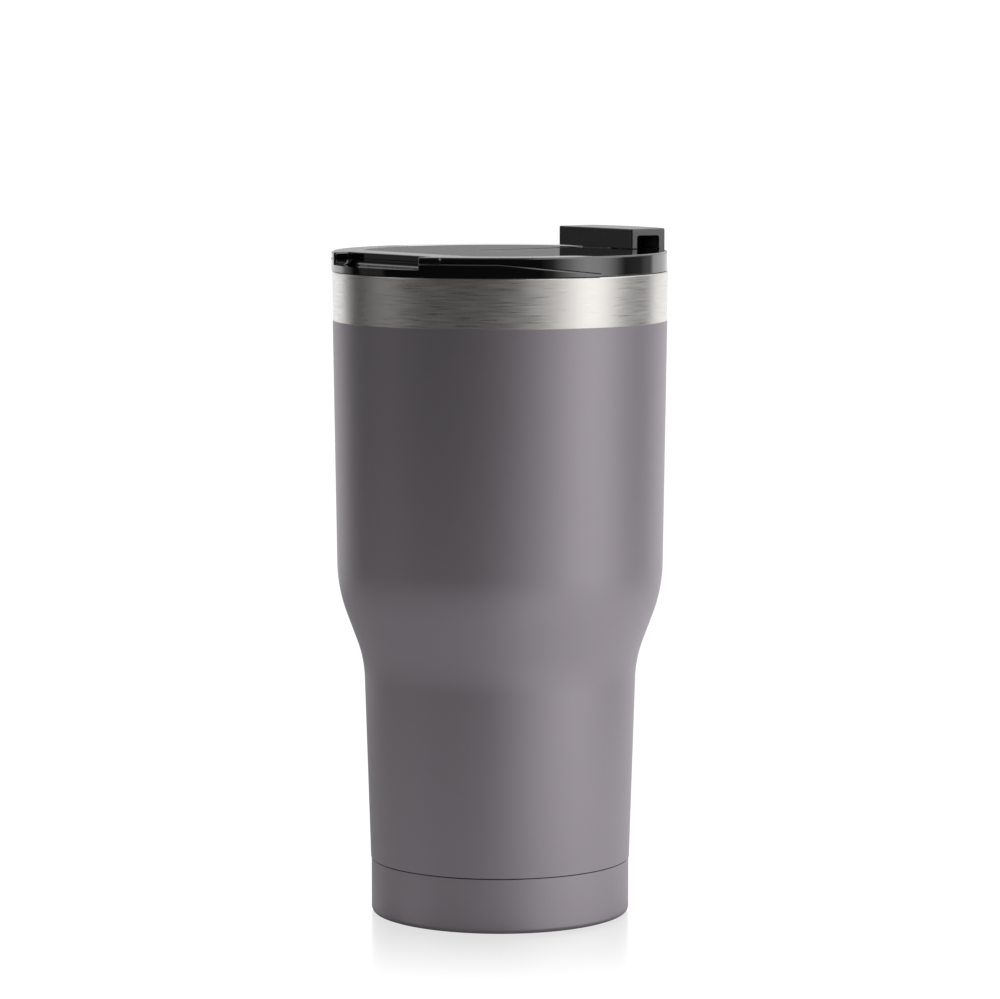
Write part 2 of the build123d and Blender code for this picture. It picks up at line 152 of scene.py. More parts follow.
LEVER_JOINT = next(j for j in frame["joints"] if j["name"] == "lever_flip")
PIN_X = LEVER_JOINT["pos_m"][0] / MM
PIN_Z = LEVER_JOINT["pos_m"][2] / MM
PIN_R = 0.75
PIN_HALF_L = 9.0
PIN_FIT = 0.04
CHANNEL_BACK_X = PIN_X - 1.85
CHANNEL_HALF_W = 6.5
CHANNEL_FLOOR_Z = 199.2
CHANNEL_END_X = 39.5
ARM_HALF_W = 6.1
ARM_LOW_Z = 199.7
ARM_TOP_Z = 202.1
BARREL_R = 1.2
BAR_X = 36.8
BAR_R = 53.0
BAR_HALF_W = radius_of("flip_lever")
BAR_LOW_Z = RIM_Z + 0.2
BAR_TOP_Z = top_of("flip_lever")
BAR_WALL = 2.3
BAR_ROOF = 2.2
BAR_WEB_HALF_W = 8.0
BAR_LIP_R = 51.0
BAR_LIP_Z = 201.5
BOSS_R = 1.5
BOSS_LOW_Z = 198.6
VENT_STEM_R = 1.2
VENT_STEM_DEPTH = 1.6


# ---------------------------------------------------------------- mesh tools

def add_object(name, verts, faces):
    """Mesh object from millimetre points, with outward faces."""
    mesh = bpy.data.meshes.new(name)
    mesh.from_pydata([Vector(v) * MM for v in verts], [], faces)
    work = bmesh.new()
    work.from_mesh(mesh)
    bmesh.ops.remove_doubles(work, verts=work.verts, dist=1e-7)
    bmesh.ops.dissolve_degenerate(work, edges=work.edges, dist=1e-7)
    bmesh.ops.recalc_face_normals(work, faces=work.faces)
    work.to_mesh(mesh)
    work.free()
    obj = bpy.data.objects.new(name, mesh)
    bpy.context.collection.objects.link(obj)
    shade(obj)
    return obj


def shade(obj):
    """Smooth shading that stays crisp where faces meet at more than the crease angle."""
    obj.data.shade_smooth()
    obj.data.set_sharp_from_angle(angle=radians(CREASE))


def apply_modifiers(obj):
    """Bakes an object's modifiers into its mesh."""
    bpy.context.view_layer.update()
    graph = bpy.context.evaluated_depsgraph_get()
    mesh = bpy.data.meshes.new_from_object(obj.evaluated_get(graph))
    obj.modifiers.clear()
    obj.data = mesh


def boolean(obj, other, operation="DIFFERENCE"):
    """Cuts obj with another solid, or joins it on, and removes the other."""
    modifier = obj.modifiers.new("cut", "BOOLEAN")
    modifier.operation = operation
    modifier.solver = "EXACT"
    modifier.object = other
    apply_modifiers(obj)
    bpy.data.objects.remove(other)
    shade(obj)
    return obj


def soften(obj, width, segments, angle):
    """Rounds every edge sharper than the angle."""
    modifier = obj.modifiers.new("soften", "BEVEL")
    modifier.width = width * MM
    modifier.segments = segments
    modifier.limit_method = "ANGLE"
    modifier.angle_limit = radians(angle)
    apply_modifiers(obj)
    shade(obj)
    return obj


def even_normals(obj):
    """Keeps large faces flat in shading where they run into small rounded ones."""
    modifier = obj.modifiers.new("normals", "WEIGHTED_NORMAL")
    modifier.keep_sharp = True
    modifier.weight = 100
    apply_modifiers(obj)
    return obj


def arc_points(centre, radius, start, end, count):
    """Points of an arc between two angles, both ends included."""
    steps = [start + (end - start) * i / (count - 1) for i in range(count)]
    return [(centre[0] + radius * cos(a), centre[1] + radius * sin(a)) for a in steps]


def rounded(points, radii, closed=False, count=None):
    """Line through the points with its corners rounded; radii has one entry per corner, 0 for sharp."""
    total = len(points)
    result = []
    corners = range(total) if closed else range(1, total - 1)
    if not closed:
        result.append(points[0])
    for index, radius in zip(corners, radii):
        here = Vector(points[index])
        to_last = (Vector(points[index - 1]) - here).normalized()
        to_next = (Vector(points[(index + 1) % total]) - here).normalized()
        opening = acos(max(-1.0, min(1.0, to_last.dot(to_next))))
        if radius <= 0 or opening > pi - 1e-4:
            result.append(tuple(here))
            continue
        tangent = radius / tan(opening / 2)
        middle = here + (to_last + to_next).normalized() * (radius / sin(opening / 2))
        first = here + to_last * tangent - middle
        last = here + to_next * tangent - middle
        turn = first.angle_signed(last)
        steps = count or max(2, int(abs(turn) / (2 * acos(1 - SAG / radius))) + 1)
        for step in range(steps + 1):
            angle = atan2(first.y, first.x) - turn * step / steps
            result.append((middle.x + radius * cos(angle), middle.y + radius * sin(angle)))
    if not closed:
        result.append(points[-1])
    return result


def lathe(name, section, segments=FINE):
    """Turns a closed section, as (radius, height), round the Z axis."""
    verts, faces = [], []
    size = len(section)
    for turn in range(segments):
        angle = 2 * pi * turn / segments
        verts += [(r * cos(angle), r * sin(angle), z) for r, z in section]
    for turn in range(segments):
        after = (turn + 1) % segments
        for i in range(size):
            j = (i + 1) % size
            faces.append((turn * size + i, after * size + i, after * size + j, turn * size + j))
    return add_object(name, verts, faces)


def loft(name, loops):
    """Closed solid through a stack of loops with equal numbers of points."""
    size = len(loops[0])
    verts = [point for loop in loops for point in loop]
    faces = [tuple(range(size)), tuple(range((len(loops) - 1) * size, len(loops) * size))]
    for level in range(len(loops) - 1):
        low, high = level * size, (level + 1) * size
        faces += [(low + i, low + (i + 1) % size, high + (i + 1) % size, high + i) for i in range(size)]
    return add_object(name, verts, faces)


def at_height(plan, z):
    """Lifts a plan outline to a height."""
    return [(x, y, z) for x, y in plan]


def rounded_box_plan(x_range, y_range, radius, grow=0.0, count=6):
    """Plan of a rectangle with rounded corners, grown outwards."""
    x0, x1 = x_range[0] - grow, x_range[1] + grow
    y0, y1 = y_range[0] - grow, y_range[1] + grow
    corner = max(0.02, radius + grow)
    return rounded([(x0, y0), (x1, y0), (x1, y1), (x0, y1)], [corner] * 4, closed=True, count=count)


def quarter(radius, count=4):
    """Steps round a quarter circle, as (inset, rise) pairs from the wall up to the flat."""
    angles = [pi / 2 * i / count for i in range(count + 1)]
    return [(radius * (1 - cos(a)), radius * sin(a)) for a in angles]


def subdivided(line, step=8.0):
    """Adds points on long straight runs, so that shading stays even along them."""
    result = [line[0]]
    for last, here in zip(line, line[1:]):
        run = (here[0] - last[0], here[1] - last[1])
        count = max(1, int(hypot(*run) / step))
        result += [(last[0] + run[0] * i / count, last[1] + run[1] * i / count) for i in range(1, count + 1)]
    return result


def circle_plan(radius, x=0.0, count=48):
    """Plan of a circle."""
    angles = [2 * pi * i / count for i in range(count)]
    return [(x + radius * cos(a), radius * sin(a)) for a in angles]


def column(name, plan, low, high):
    """Upright prism on a plan."""
    return loft(name, [at_height(plan, low), at_height(plan, high)])


def hole_cutter(plan, low, top, edge):
    """Cutter for an upright hole whose mouth at the top is rounded; plan(grow) gives its outline."""
    levels = [(0.0, low)] + [(inset, top - edge + rise) for inset, rise in quarter(edge)]
    levels.append((edge, top + 2.0))
    return loft("cutter", [at_height(plan(grow), z) for grow, z in levels])


def piece(obj, body, slot, material, *nodes):
    """Finishes a piece: its material, the CAD nodes that it stands for and the body that it rides on."""
    obj.data.materials.clear()
    obj.data.materials.append(material)
    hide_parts(*nodes)
    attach(obj, body)
    return obj


# ---------------------------------------------------------------- tumbler

def taper_radius(taper, height, depth=0.0):
    """Radius of a straight taper at a height, at a depth below the steel's outer face."""
    return taper[0] + taper[1] * height - depth * hypot(1, taper[1])


def taper_corner(first, second, depth):
    """Where two tapers meet, at a depth below the steel's outer face."""
    gap = taper_radius(second, 0, depth) - taper_radius(first, 0, depth)
    height = gap / (first[1] - second[1])
    return (taper_radius(first, height, depth), height)


def wall_corners(depth):
    """Waist and shoulder corners of the wall at a depth, with the radii that round them."""
    corners = [
        taper_corner(LOWER_TAPER, SHOULDER_TAPER, depth),
        taper_corner(SHOULDER_TAPER, UPPER_TAPER, depth),
    ]
    return corners, [WAIST_ARC + depth, SHOULDER_ARC - depth]


def wall_line(depth, low, high):
    """The wall's line at a depth, from a low height up to a high one."""
    corners, radii = wall_corners(depth)
    start = (taper_radius(LOWER_TAPER, low, depth), low)
    end = (taper_radius(UPPER_TAPER, high, depth), high)
    return subdivided(rounded([start, *corners, end], radii))


def steel_shell():
    """Outer steel wall with its rounded lip."""
    outside = wall_line(0.0, SHELL_LOW_Z, LIP_Z - LIP_EDGE_R)
    lip_r, lip_z = outside[-1]
    outside += arc_points((lip_r - LIP_EDGE_R, lip_z), LIP_EDGE_R, 0, pi / 2, 7)[1:]
    inside = wall_line(SHELL_SHEET, SHELL_LOW_Z, LIP_Z)
    return even_normals(lathe("steel_shell", outside + inside[::-1]))


def liner_line(depth, mouth_r, floor_z):
    """Line of the inner vessel from the mouth down the wall and in to the axis, at a wall depth."""
    thick = WALL_DEPTH - depth
    (waist, shoulder), (waist_r, shoulder_r) = wall_corners(depth)
    points = [
        (mouth_r, LIP_Z),
        (mouth_r, LIP_Z - MOUTH_DEPTH - thick / 3),
        (BORE_R + thick, BORE_TOP_Z - thick / 3),
        (BORE_R + thick, BORE_LOW_Z - thick / 3),
        (taper_radius(UPPER_TAPER, SEAT_LOW_Z, depth), SEAT_LOW_Z),
        shoulder,
        waist,
        (taper_radius(LOWER_TAPER, floor_z, depth), floor_z),
        (0.0, floor_z),
    ]
    radii = [1.5, 1.5, 1.5, 1.5, shoulder_r, waist_r, FLOOR_CORNER_R + thick]
    return subdivided(rounded(points, radii))


def steel_liner():
    """Inner steel vessel with the gasket's seat below its mouth."""
    outer_r = taper_radius(UPPER_TAPER, LIP_Z - MOUTH_DEPTH, SHELL_SHEET) - 0.02
    mouth_r = outer_r - LINER_SHEET
    edge = 0.3
    drink_side = liner_line(WALL_DEPTH, mouth_r, FLOOR_Z)[1:]
    vacuum_side = liner_line(WALL_DEPTH - LINER_SHEET, outer_r, FLOOR_Z - LINER_SHEET)
    crest = arc_points((mouth_r + edge, LIP_Z - edge), edge, pi / 2, pi, 6)
    return even_normals(lathe("steel_liner", crest + drink_side + vacuum_side[::-1]))


def steel_cup():
    """Pressed cup that closes the outer wall: ring, standing rim, dished middle and inner sleeve."""
    collar_r = taper_radius(LOWER_TAPER, (SHELL_LOW_Z + CUP_TOP_Z) / 2, SHELL_SHEET) - 0.05
    rim_r = BASE_RIM_INNER_R
    outside = rounded(
        [
            (BASE_R, CUP_TOP_Z),
            (BASE_R, 0.0),
            (rim_r, 0.0),
            (rim_r - 1.2, BASE_DISH),
            (SEAL_DIMPLE_R, BASE_DISH),
            (SEAL_DIMPLE_R, BASE_DISH + SHELL_SHEET / 2),
            (VACUUM_HOLE_R, BASE_DISH + SHELL_SHEET / 2),
        ],
        [BASE_EDGE_R, 0.5, 0.5, 0.1, 0.05],
    )
    inside = rounded(
        [
            (VACUUM_HOLE_R, BASE_DISH + SHELL_SHEET),
            (rim_r - 0.9, BASE_DISH + SHELL_SHEET),
            (rim_r + 0.3, SHELL_SHEET),
            (collar_r - SHELL_SHEET, SHELL_SHEET),
            (collar_r - SHELL_SHEET, COLLAR_TOP_Z),
        ],
        [0.4, 0.4, 0.9],
    )
    sleeve = [(collar_r, COLLAR_TOP_Z), (collar_r, CUP_TOP_Z)]
    return even_normals(lathe("steel_cup", outside + inside + sleeve))


def bottom_disc():
    """Steel disc over the vacuum seal, with a softly rolled edge."""
    section = rounded(
        [(0.0, PLATE_LOW_Z), (PLATE_R, PLATE_LOW_Z), (PLATE_R, BASE_DISH), (0.0, BASE_DISH)],
        [0.3, 0.0],
    )
    return even_normals(lathe("bottom_disc", section))


def body_paint():
    """Powder coat on the outer wall, thinning to a soft edge at the seam and below the steel band."""
    edge = COAT * 0.9
    outside = wall_line(-COAT, SHELL_LOW_Z + edge, PAINT_TOP_Z - edge)
    inside = wall_line(0.0, SHELL_LOW_Z, PAINT_TOP_Z)
    low_r, high_r = outside[0][0] - edge, outside[-1][0] - edge
    foot = arc_points((low_r, SHELL_LOW_Z + edge), edge, -pi / 2, 0, 5)[:-1]
    head = arc_points((high_r, PAINT_TOP_Z - edge), edge, 0, pi / 2, 5)[1:]
    return even_normals(lathe("body_paint", foot + outside + head + inside[::-1]))


def base_paint():
    """Powder coat on the base cup, rounded over at the seam and run out at the foot."""
    outer_r = BASE_R + COAT
    foot_x = BASE_R - BASE_EDGE_R
    foot_z = foot_of("base_coat")
    edge = COAT * 0.9
    arc_r = BASE_EDGE_R + COAT
    outer_end = asin((BASE_EDGE_R - foot_z) / arc_r)
    inner_end = asin((BASE_EDGE_R - foot_z) / BASE_EDGE_R)
    top = arc_points((outer_r - edge, CUP_TOP_Z - edge), edge, pi / 2, 0, 5)
    outside = arc_points((foot_x, BASE_EDGE_R), arc_r, 0, -outer_end, 9)
    inside = arc_points((foot_x, BASE_EDGE_R), BASE_EDGE_R, -inner_end, 0, 9)
    section = top + outside + inside + [(BASE_R, CUP_TOP_Z)]
    return even_normals(lathe("base_paint", section))


# ---------------------------------------------------------------- lid

def band_top(x):
    """Height of the grip band's top, level beside the notch and then sloping away."""
    return BAND_TOP_Z - BAND_SLOPE * max(0.0, x - BAND_FLAT_X)


def cover_outline(inset=0.0):
    """Plan of the cover's edge, inset from its wall: a circle, the two posts and the grip notch."""
    wall_r = LID_R - inset
    post_r = FLANGE_R - inset
    side_y = NOTCH_HALF_W + inset
    post_start = pi - asin(POST_HALF_W / FLANGE_R)
    post_end = pi - asin(side_y / post_r)
    tip = acos(BAND_TIP_X / LID_R)
    step = radians(1.25)
    angles = [step * i for i in range(int(post_start / step))] + [tip - 1e-4, tip + 1e-4]
    half = [(wall_r * cos(a), wall_r * sin(a)) for a in sorted(angles)]
    for angle, share in ((-0.011, 0.0), (-0.004, 0.5), (0.0, 0.85), (0.004, 1.0)):
        radius = wall_r + (post_r - wall_r) * share
        half.append((radius * cos(post_start + angle), radius * sin(post_start + angle)))
    start, count = post_start + 0.004, 6
    for i in range(1, count):
        angle = start + (post_end - start) * i / count
        half.append((post_r * cos(angle), post_r * sin(angle)))
    corner = (post_r * cos(post_end), side_y)
    inner = (NOTCH_X + inset, side_y)
    radii = [max(POST_EDGE_R - inset, 0.02), NOTCH_CORNER_R + inset]
    half += rounded([half[-1], corner, inner, (inner[0], 0.0)], radii, count=5)[1:]
    return half + [(x, -y) for x, y in half[-2:0:-1]]


def under_outline():
    """Plan of the cover below the grip band's top, which stands inside the band."""
    share = (FLANGE_INNER_R - PARTING) / LID_R
    back_x = NOTCH_X + NOTCH_BACKING + PARTING
    return [(max(x * share, back_x), y * share) for x, y in cover_outline()]


def gloss_cover():
    """Glossy upper moulding: posts, lever channel, sip port with its seat, vent hole and pin bores."""
    edge = 0.12
    on_band = [x < BAND_TIP_X for x, _ in cover_outline()]
    loops = []
    for outline, rise, low in ((under_outline(), 0.0, True), (under_outline(), 0.0, False),
                               (cover_outline(edge), 0.0, False), (cover_outline(), edge, False)):
        foot = cover_outline(edge) if outline[0] != cover_outline()[0] else outline
        loop = []
        for (x, y), (foot_x, foot_y), banded in zip(outline, foot, on_band):
            if banded:
                loop.append((x, y, LID_Z if low else band_top(x) + PARTING + rise))
            else:
                loop.append((foot_x, foot_y, LID_Z + rise))
        loops.append(loop)
    loops += [at_height(cover_outline(inset), RIM_Z - EDGE_R + rise) for inset, rise in quarter(EDGE_R, 6)]
    loops.append(at_height(cover_outline(EDGE_R + 0.4), RIM_Z))
    cover = loft("gloss_cover", loops)
    seat = hole_cutter(lambda grow: port_plan(PORT_SEAT_W + grow), PORT_SEAT_Z, RIM_Z, 0.1)
    vent = vent_cutter(LID_Z - 1, CHANNEL_FLOOR_Z)
    for cutter in (channel_cutter(), seat, port_cutter(LID_Z - 1, PORT_SEAT_Z), vent, pin_cutter(PIN_R)):
        boolean(cover, cutter)
    return even_normals(cover)


def channel_cutter():
    """Space of the lever's channel, just rounded over at the lid's top."""
    def plan(grow):
        sides = (-CHANNEL_HALF_W, CHANNEL_HALF_W)
        return rounded_box_plan((CHANNEL_BACK_X, CHANNEL_END_X), sides, 0.5, grow)

    return hole_cutter(plan, CHANNEL_FLOOR_Z, RIM_Z, 0.05)


def pin_cutter(radius):
    """Cutter for the hinge pin's bore, along Y."""
    ring = [(PIN_X + x, PIN_Z + z) for x, z in circle_plan(radius, count=32)]
    return loft("cutter", [[(x, y, z) for x, z in ring] for y in (-PIN_HALF_L, PIN_HALF_L)])


def port_plan(grow=0.0):
    """Plan of the sip port, a slot along Y."""
    half_l, half_w = PORT_L / 2, PORT_W / 2
    return rounded_box_plan((PORT_X - half_l, PORT_X + half_l), (-half_w, half_w), half_l - 0.01, grow, 10)


def port_cutter(low, top):
    """Cutter for the sip port."""
    return hole_cutter(port_plan, low, top, 0.4)


def vent_cutter(low, top):
    """Cutter for the vent hole."""
    return hole_cutter(lambda grow: circle_plan(VENT_HOLE_R + grow, VENT_X), low, top, 0.2)


def lid_plug():
    """Floor of the lid and the skirt that plugs the mouth, with the gasket's groove."""
    top = LID_Z - 0.02
    floor_low = LID_Z - LID_FLOOR_T
    bead_top = SKIRT_LOW_Z + SKIRT_BEAD_H
    points = [
        (0.0, floor_low),
        (SKIRT_R - SKIRT_WALL, floor_low),
        (SKIRT_R - SKIRT_WALL, SKIRT_LOW_Z),
        (SKIRT_BEAD_R, SKIRT_LOW_Z),
        (SKIRT_BEAD_R, bead_top),
        (SKIRT_R, bead_top),
        (SKIRT_R, GASKET_TOP_Z),
        (SKIRT_BEAD_R, GASKET_TOP_Z),
        (SKIRT_BEAD_R, floor_low - 1.6),
        (LID_FLOOR_R, floor_low + 0.6),
        (LID_FLOOR_R, top),
        (0.0, top),
    ]
    radii = [1.0, 0.5, 0.6, 0.15, 0.05, 0.05, 0.15, 1.0, 0.3, 0.1]
    plug = lathe("lid_plug", rounded(points, radii))
    boolean(plug, port_cutter(floor_low - 1, LID_Z + 1))
    boolean(plug, vent_cutter(floor_low - 1, LID_Z + 1))
    return even_normals(plug)


def notch_plan(shift=0.0):
    """Plan of the grip notch's space, from outside the lid in to its inner wall."""
    corner = pi - asin(NOTCH_HALF_W / FLANGE_R)
    before = corner - 0.0225
    points = [
        (1.2 * FLANGE_R * cos(before), 1.2 * FLANGE_R * sin(before)),
        (FLANGE_R * cos(before), FLANGE_R * sin(before)),
        (FLANGE_R * cos(corner), NOTCH_HALF_W),
        (NOTCH_X + shift, NOTCH_HALF_W),
    ]
    points += [(x, -y) for x, y in reversed(points)]
    radii = [0.0, 0.0, POST_EDGE_R, NOTCH_CORNER_R]
    return rounded(points, radii + radii[::-1], closed=True, count=5)


def grip_band():
    """Half-round band that stands proud of the lid, with the notch's floor and its coved inner edge."""
    tip = acos((BAND_TIP_X - PARTING) / FLANGE_R)
    back_x = -(NOTCH_X + NOTCH_BACKING)
    count = 144
    edge = 0.45
    loops = []
    for i in range(count + 1):
        angle = tip + (2 * pi - 2 * tip) * i / count
        inner_r = min(FLANGE_INNER_R, back_x / max(1e-6, -cos(angle)))
        section = [(inner_r, None), (inner_r, 0.0)]
        section += [(FLANGE_R - inset, edge - rise) for inset, rise in reversed(quarter(edge))]
        section += [(FLANGE_R, None)]
        loop = []
        for radius, drop in section:
            x, y = radius * cos(angle), radius * sin(angle)
            loop.append((x, y, LID_Z if drop is None else band_top(x) - drop))
        loops.append(loop)
    band = loft("grip_band", loops)
    turns = [pi / 16 * i for i in range(9)]
    cove = [(NOTCH_COVE_R * (sin(a) - 1), NOTCH_COVE_R * (1 - cos(a))) for a in turns]
    levels = [(FLANGE_TOP_Z + rise, shift) for shift, rise in cove] + [(RIM_Z + 1, 0.0)]
    boolean(band, loft("cutter", [at_height(notch_plan(shift), z) for z, shift in levels]))
    return even_normals(band)


def gasket():
    """Silicone ring with its sealing fins."""
    section = [(SKIRT_R, GASKET_TOP_Z), (SKIRT_R, GASKET_LOW_Z), (GASKET_CORE_R, GASKET_LOW_Z)]
    root_r = GASKET_CORE_R
    tip_r = 0.18
    for index in range(GASKET_FINS):
        fin_z = GASKET_LOW_Z + 1.3 + index * GASKET_FIN_PITCH
        section.append((root_r, fin_z - 0.45))
        section += arc_points((GASKET_FIN_R - tip_r, fin_z + 0.25), tip_r, -pi / 2, pi / 2, 7)
        section.append((root_r, fin_z + 0.7))
    section.append((GASKET_CORE_R, GASKET_TOP_Z))
    return even_normals(lathe("gasket", section))


# ---------------------------------------------------------------- flip lever

def bar_outline(inset=0.0):
    """Plan of the raised bar: flat inner face, square ends and an outer face curved with the lid."""
    outer_r = BAR_R - inset
    half_w = BAR_HALF_W - inset
    inner_x = BAR_X + inset
    half_angle = asin(half_w / outer_r)
    corner_r = max(0.6 - inset, 0.05)
    count = 20
    outer = arc_points((0.0, 0.0), outer_r, -half_angle, half_angle, count)
    points = [(inner_x, -half_w)] + outer + [(inner_x, half_w)]
    radii = [corner_r, corner_r] + [0.0] * (count - 2) + [corner_r, corner_r]
    return rounded(points, radii, closed=True, count=5)


def hollow_cutter(side):
    """Space of one hollow end of the bar, open at the end and below, with a softened mouth."""
    roof = BAR_TOP_Z - BAR_ROOF
    mouth = 0.3
    levels = [(BAR_WEB_HALF_W, 0.0)]
    levels += [(BAR_HALF_W - mouth + rise, inset) for inset, rise in quarter(mouth)]
    levels.append((BAR_HALF_W + 1.0, mouth))
    loops = []
    for y, grow in levels:
        outer_x = sqrt((BAR_R - BAR_WALL) ** 2 - min(y, BAR_HALF_W) ** 2) + grow
        inner_x = BAR_X + BAR_WALL - grow
        low, high = BAR_LIP_Z - 2, roof + grow
        section = rounded(
            [(inner_x, low), (outer_x, low), (outer_x, high), (inner_x, high)],
            [0.0, 0.0, 0.6 + grow, 0.6 + grow],
            closed=True,
            count=4,
        )
        loops.append([(x, side * y, z) for x, z in section])
    return loft("cutter", loops)


def lever_arm():
    """Arm with its hinge barrel, and the riser into the bar, drawn from the side and run across."""
    start = -asin((PIN_Z - ARM_LOW_Z) / BARREL_R)
    barrel = arc_points((PIN_X, PIN_Z), BARREL_R, start, -3 * pi / 2, 20)
    riser = rounded(
        [
            barrel[-1],
            (BAR_X + 0.03, ARM_TOP_Z),
            (BAR_X + 0.03, BAR_LOW_Z + 1.0),
            (BAR_X + BAR_WALL, BAR_LOW_Z + 1.0),
            (BAR_X + BAR_WALL, ARM_LOW_Z),
            barrel[0],
        ],
        [0.2, 0.0, 0.0, 0.6],
    )
    section = barrel + riser[1:-1]
    loops = [[(x, y, z) for x, z in section] for y in (-ARM_HALF_W, ARM_HALF_W)]
    arm = loft("arm", loops)
    return soften(arm, 0.06, 2, 50)


def flip_lever():
    """Lever moulding: arm, hinge barrel, raised bar with hollow ends, lip and the stopper's boss."""
    edge = 0.45
    foot = 0.2
    loops = [at_height(bar_outline(foot - inset), BAR_LIP_Z + foot - rise) for inset, rise in reversed(
        [(foot - i, r) for i, r in quarter(foot, 3)])]
    loops += [at_height(bar_outline(inset), BAR_TOP_Z - edge + rise) for inset, rise in quarter(edge, 6)]
    loops.append(at_height(bar_outline(edge + 0.3), BAR_TOP_Z))
    lever = loft("flip_lever_moulding", loops)
    boolean(lever, column("cutter", circle_plan(BAR_LIP_R, count=192), BAR_LIP_Z - 2, BAR_LOW_Z))
    for side in (-1, 1):
        boolean(lever, hollow_cutter(side))
    boolean(lever, lever_arm(), "UNION")
    boolean(lever, column("boss", circle_plan(BOSS_R, PORT_X), BOSS_LOW_Z, BAR_LOW_Z + 1.0), "UNION")
    socket_top = ARM_LOW_Z + VENT_STEM_DEPTH
    boolean(lever, column("socket", circle_plan(VENT_STEM_R, VENT_X), ARM_LOW_Z - 1, socket_top))
    boolean(lever, pin_cutter(PIN_R + PIN_FIT))
    return even_normals(lever)


def stopper():
    """Silicone stopper: a plug that fills the sip port under a wider flange."""
    low = LID_Z - 0.2
    flange_low = PORT_SEAT_Z + 0.1
    top = BAR_LOW_Z
    fit, reach = -0.3, 0.9
    edge = 0.12
    levels = [(fit - 0.4, low), (fit - 0.15, low + 0.15), (fit, low + 0.4), (fit, flange_low)]
    levels += [(reach - edge, flange_low), (reach, flange_low + edge)]
    levels += [(reach, top - edge), (reach - edge, top)]
    body = loft("stopper", [at_height(port_plan(grow), z) for grow, z in levels])
    boolean(body, column("socket", circle_plan(BOSS_R + 0.01, PORT_X), BOSS_LOW_Z - 0.02, top + 1))
    return even_normals(body)


def vent_button():
    """Silicone button that closes the vent hole."""
    seat = foot_of("vent_plug") + 1.2
    top = top_of("vent_plug")
    section = rounded(
        [
            (0.0, seat - 1.2),
            (0.8, seat - 1.2),
            (VENT_STEM_R, seat),
            (2.6, seat),
            (2.6, ARM_LOW_Z),
            (VENT_STEM_R, ARM_LOW_Z),
            (VENT_STEM_R, top),
            (0.0, top),
        ],
        [0.2, 0.0, 0.15, 0.1, 0.0, 0.1],
    )
    button = lathe("vent_button", section, 48)
    button.data.transform(Matrix.Translation((VENT_X * MM, 0, 0)))
    return even_normals(button)


# ---------------------------------------------------------------- materials

STEEL = (0.68, 0.66, 0.635, 1)
# Colour in the seam's groove: the coat reaching in, darkened far below its own colour as painted shade.
GROOVE_PAINT_AND_SHADE = (0.06, 0.055, 0.06, 1)
PAINT_AND_SHADE_LAP = 0.3              # how far the paint, darkened as painted shade, reaches past each side of the seam, in millimetres
PAINT_AND_SHADE_DEPTH = 2.0            # how far into the seam it reaches
PAINT_AND_SHADE_EDGE = 0.1             # width over which it ends
STREAK_TURN = 0.002          # metres of noise for a radian round the axis, which draws the grain out
SHEEN_ROUGHNESS = 0.28


def new_material(name, **settings):
    """Material with a Principled shader whose named sockets are set."""
    material = bpy.data.materials.new(name)
    material.use_nodes = True
    shader = material.node_tree.nodes["Principled BSDF"]
    for socket, value in settings.items():
        shader.inputs[socket.replace("_", " ")].default_value = value
    return material, material.node_tree, shader


def add_node(tree, kind, **settings):
    """Shader node with its properties and inputs set."""
    node = tree.nodes.new(kind)
    for key, value in settings.items():
        if hasattr(node, key):
            setattr(node, key, value)
        else:
            node.inputs[key].default_value = value
    return node


def noise(tree, scale, detail=2.0, vector=None):
    """Noise in the object's own coordinates, in features per metre."""
    node = add_node(tree, "ShaderNodeTexNoise", Scale=scale, Detail=detail)
    if vector is None:
        vector = add_node(tree, "ShaderNodeTexCoord").outputs["Object"]
    tree.links.new(vector, node.inputs["Vector"])
    return node.outputs["Fac"]


def spread(tree, factor, low, high):
    """Noise factor mapped to a range of values."""
    node = add_node(tree, "ShaderNodeMapRange")
    node.inputs["From Min"].default_value = 0.3
    node.inputs["From Max"].default_value = 0.7
    node.inputs["To Min"].default_value = low
    node.inputs["To Max"].default_value = high
    tree.links.new(factor, node.inputs["Value"])
    return node.outputs["Result"]


def add_bump(tree, shader, height, distance, strength=1.0):
    """Fine relief from a height between 0 and 1, in millimetres."""
    bump = add_node(tree, "ShaderNodeBump", Strength=strength, Distance=distance * MM)
    tree.links.new(height, bump.inputs["Height"])
    tree.links.new(bump.outputs["Normal"], shader.inputs["Normal"])
    return bump


def place_parts(tree):
    """The object's own X, Y and Z in metres, and the distance from the Z axis."""
    place = add_node(tree, "ShaderNodeTexCoord").outputs["Object"]
    split = add_node(tree, "ShaderNodeSeparateXYZ")
    tree.links.new(place, split.inputs["Vector"])
    level = add_node(tree, "ShaderNodeVectorMath", operation="MULTIPLY")
    level.inputs[1].default_value = (1, 1, 0)
    tree.links.new(place, level.inputs[0])
    radius = add_node(tree, "ShaderNodeVectorMath", operation="LENGTH")
    tree.links.new(level.outputs["Vector"], radius.inputs[0])
    return split.outputs["X"], split.outputs["Y"], split.outputs["Z"], radius.outputs["Value"]


def step_at(tree, value, start, end, low=0.0, high=1.0):
    """Goes from low to high as a length passes from start to end, both in millimetres."""
    node = add_node(tree, "ShaderNodeMapRange")
    for socket, number in (("From Min", start * MM), ("From Max", end * MM)):
        node.inputs[socket].default_value = number
    for socket, bound in (("To Min", low), ("To Max", high)):
        if isinstance(bound, bpy.types.NodeSocket):
            tree.links.new(bound, node.inputs[socket])
        else:
            node.inputs[socket].default_value = bound
    tree.links.new(value, node.inputs["Value"])
    return node.outputs["Result"]


def combine(tree, operation, first, second):
    """Two values put together by a math node."""
    node = add_node(tree, "ShaderNodeMath", operation=operation)
    tree.links.new(first, node.inputs[0])
    tree.links.new(second, node.inputs[1])
    return node.outputs["Value"]


